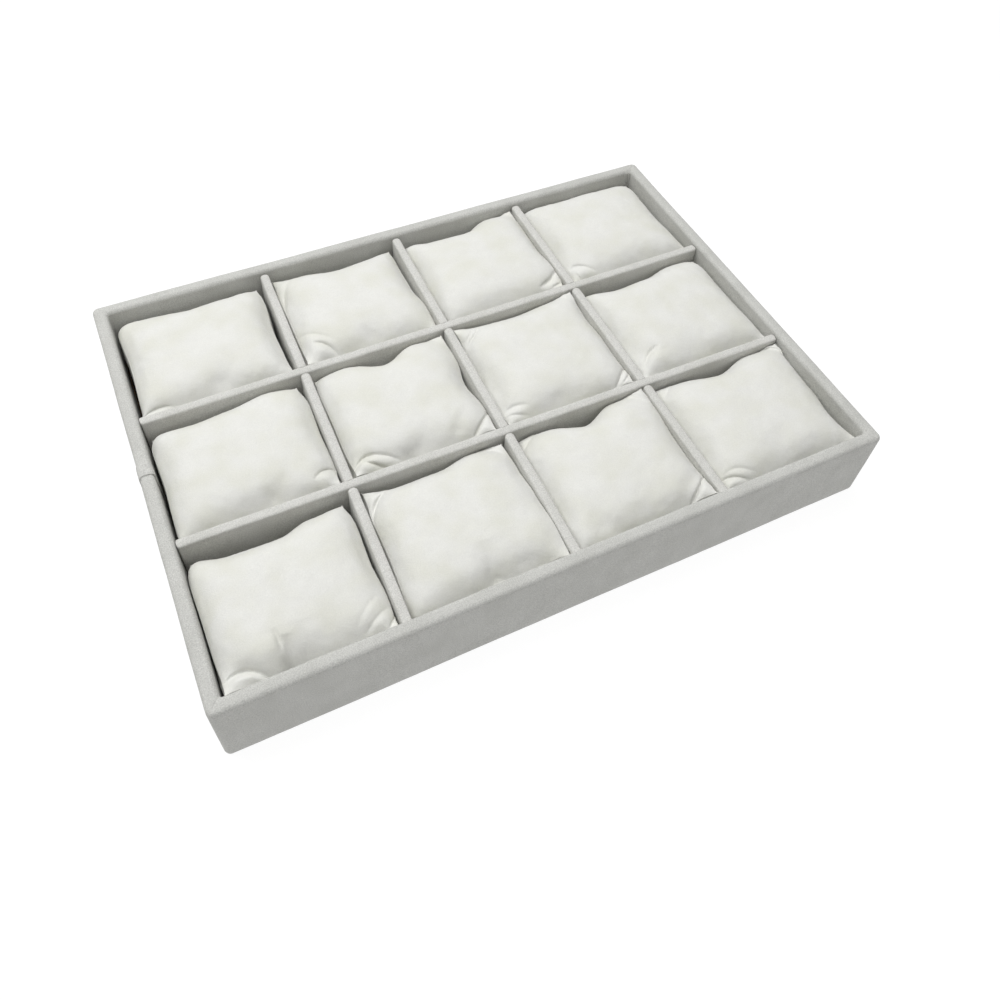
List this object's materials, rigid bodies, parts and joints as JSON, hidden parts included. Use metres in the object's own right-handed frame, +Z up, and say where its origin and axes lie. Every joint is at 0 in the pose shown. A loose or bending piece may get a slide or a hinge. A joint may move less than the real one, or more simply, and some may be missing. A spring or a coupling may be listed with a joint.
{
  "type": "cushioned tray",
  "caption": "Shallow cloth-covered tray, divided into a grid of compartments that each hold a loose square pillow for a watch or bracelet.",
  "frame": {"origin": "middle of the underside", "axes": "+X along the long side, to the right as the picture shows it; +Y from the front wall to the back wall; +Z up"},
  "size_m": [0.35, 0.2474, 0.0468],
  "materials": {
    "light_grey_velvet": "short-pile velvet, light warm grey",
    "off_white_velvet": "short-pile velvet, off-white with faint mottling",
    "fibreboard": "raw fibreboard",
    "grey_card": "raw grey board",
    "dark_lining": "matt flocked paper, black",
    "black_paper": "fine-grained cover paper, black",
    "white_wadding": "loose polyester wadding"
  },
  "bodies": {
    "tray": {"underside_cover": "black_paper", "base_board": "fibreboard", "floor_lining": "dark_lining", "front_wall_board": "fibreboard", "back_wall_board": "fibreboard", "left_wall_board": "fibreboard", "right_wall_board": "fibreboard", "wall_cloth": "light_grey_velvet", "row_divider_1_board": "grey_card", "row_divider_1_cloth": "light_grey_velvet", "row_divider_2_board": "grey_card", "row_divider_2_cloth": "light_grey_velvet", "column_divider_1_board": "grey_card", "column_divider_1_cloth": "light_grey_velvet", "column_divider_2_board": "grey_card", "column_divider_2_cloth": "light_grey_velvet", "column_divider_3_board": "grey_card", "column_divider_3_cloth": "light_grey_velvet"},
    "pillow_r1c1": {"pillow_cover_r1c1": "off_white_velvet", "pillow_filling_r1c1": "white_wadding"},
    "pillow_r1c2": {"pillow_cover_r1c2": "off_white_velvet", "pillow_filling_r1c2": "white_wadding"},
    "pillow_r1c3": {"pillow_cover_r1c3": "off_white_velvet", "pillow_filling_r1c3": "white_wadding"},
    "pillow_r1c4": {"pillow_cover_r1c4": "off_white_velvet", "pillow_filling_r1c4": "white_wadding"},
    "pillow_r2c1": {"pillow_cover_r2c1": "off_white_velvet", "pillow_filling_r2c1": "white_wadding"},
    "pillow_r2c2": {"pillow_cover_r2c2": "off_white_velvet", "pillow_filling_r2c2": "white_wadding"},
    "pillow_r2c3": {"pillow_cover_r2c3": "off_white_velvet", "pillow_filling_r2c3": "white_wadding"},
    "pillow_r2c4": {"pillow_cover_r2c4": "off_white_velvet", "pillow_filling_r2c4": "white_wadding"},
    "pillow_r3c1": {"pillow_cover_r3c1": "off_white_velvet", "pillow_filling_r3c1": "white_wadding"},
    "pillow_r3c2": {"pillow_cover_r3c2": "off_white_velvet", "pillow_filling_r3c2": "white_wadding"},
    "pillow_r3c3": {"pillow_cover_r3c3": "off_white_velvet", "pillow_filling_r3c3": "white_wadding"},
    "pillow_r3c4": {"pillow_cover_r3c4": "off_white_velvet", "pillow_filling_r3c4": "white_wadding"}
  },
  "joints": [
    {"name": "lift_r1c1", "type": "slide", "parent": "tray", "child": "pillow_r1c1", "axis": [0, 0, 1], "range_m": [0, 0.06]},
    {"name": "lift_r1c2", "type": "slide", "parent": "tray", "child": "pillow_r1c2", "axis": [0, 0, 1], "range_m": [0, 0.06]},
    {"name": "lift_r1c3", "type": "slide", "parent": "tray", "child": "pillow_r1c3", "axis": [0, 0, 1], "range_m": [0, 0.06]},
    {"name": "lift_r1c4", "type": "slide", "parent": "tray", "child": "pillow_r1c4", "axis": [0, 0, 1], "range_m": [0, 0.06]},
    {"name": "lift_r2c1", "type": "slide", "parent": "tray", "child": "pillow_r2c1", "axis": [0, 0, 1], "range_m": [0, 0.06]},
    {"name": "lift_r2c2", "type": "slide", "parent": "tray", "child": "pillow_r2c2", "axis": [0, 0, 1], "range_m": [0, 0.06]},
    {"name": "lift_r2c3", "type": "slide", "parent": "tray", "child": "pillow_r2c3", "axis": [0, 0, 1], "range_m": [0, 0.06]},
    {"name": "lift_r2c4", "type": "slide", "parent": "tray", "child": "pillow_r2c4", "axis": [0, 0, 1], "range_m": [0, 0.06]},
    {"name": "lift_r3c1", "type": "slide", "parent": "tray", "child": "pillow_r3c1", "axis": [0, 0, 1], "range_m": [0, 0.06]},
    {"name": "lift_r3c2", "type": "slide", "parent": "tray", "child": "pillow_r3c2", "axis": [0, 0, 1], "range_m": [0, 0.06]},
    {"name": "lift_r3c3", "type": "slide", "parent": "tray", "child": "pillow_r3c3", "axis": [0, 0, 1], "range_m": [0, 0.06]},
    {"name": "lift_r3c4", "type": "slide", "parent": "tray", "child": "pillow_r3c4", "axis": [0, 0, 1], "range_m": [0, 0.06]}
  ]
}
